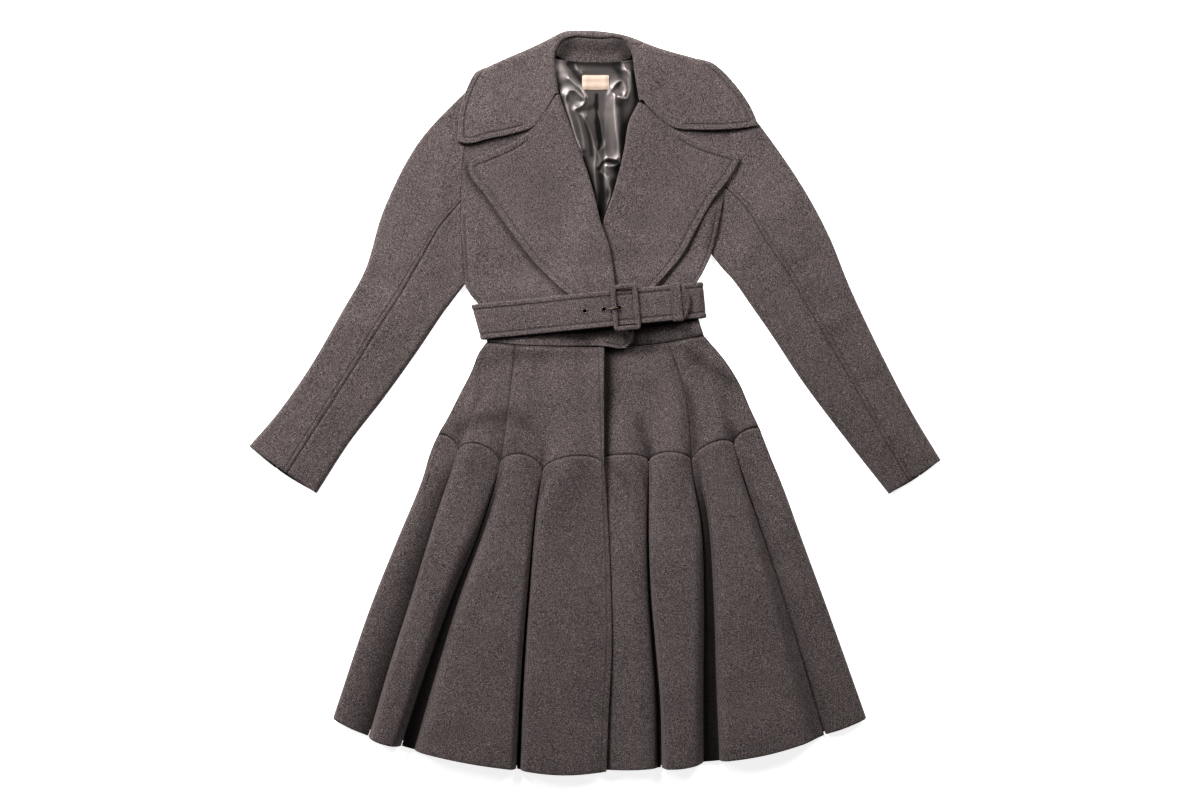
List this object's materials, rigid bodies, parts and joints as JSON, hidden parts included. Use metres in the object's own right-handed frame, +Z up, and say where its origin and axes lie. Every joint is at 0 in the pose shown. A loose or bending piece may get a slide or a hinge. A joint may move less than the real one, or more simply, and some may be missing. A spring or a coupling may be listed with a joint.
{
  "type": "belted wool coat",
  "caption": "Belted wool coat with a wide collar, lapels and a fluted flared skirt, laid flat face up on a surface.",
  "frame": {"origin": "centre of the coat's outline, on the surface it lies on", "axes": "+X to the wearer's left (right as seen from above), +Y towards the collar, +Z up"},
  "size_m": [1.0016, 1.0761, 0.0386],
  "materials": {
    "wool": "matte felted melton, heathered",
    "lining": "satin weave, soft gloss",
    "label": "matte woven ribbon, blank",
    "metal": "dark satin"
  },
  "bodies": {
    "root": {"back_bodice": "wool", "back_waistband": "wool", "back_skirt_yoke": "wool", "back_lower_skirt": "wool", "front_bodice_right": "wool", "front_bodice_left": "wool", "lapel_right": "wool", "lapel_left": "wool", "waistband_right": "wool", "waistband_left": "wool", "skirt_front_right": "wool", "skirt_front_left": "wool", "skirt_side_right": "wool", "skirt_side_left": "wool", "gore_right_1": "wool", "gore_right_2": "wool", "gore_right_3": "wool", "gore_right_4": "wool", "gore_left_1": "wool", "gore_left_2": "wool", "gore_left_3": "wool", "gore_left_4": "wool", "sleeve_top_right": "wool", "sleeve_top_left": "wool", "sleeve_under_right": "wool", "sleeve_under_left": "wool", "collar": "wool", "collar_stand": "wool", "belt_strap": "wool", "buckle_frame": "wool", "belt_keeper": "wool", "neck_lining": "lining", "neck_label": "label", "buckle_bar": "metal", "buckle_prong": "metal", "eyelet_1": "metal", "eyelet_2": "metal", "eyelet_3": "metal"}
  },
  "joints": []
}
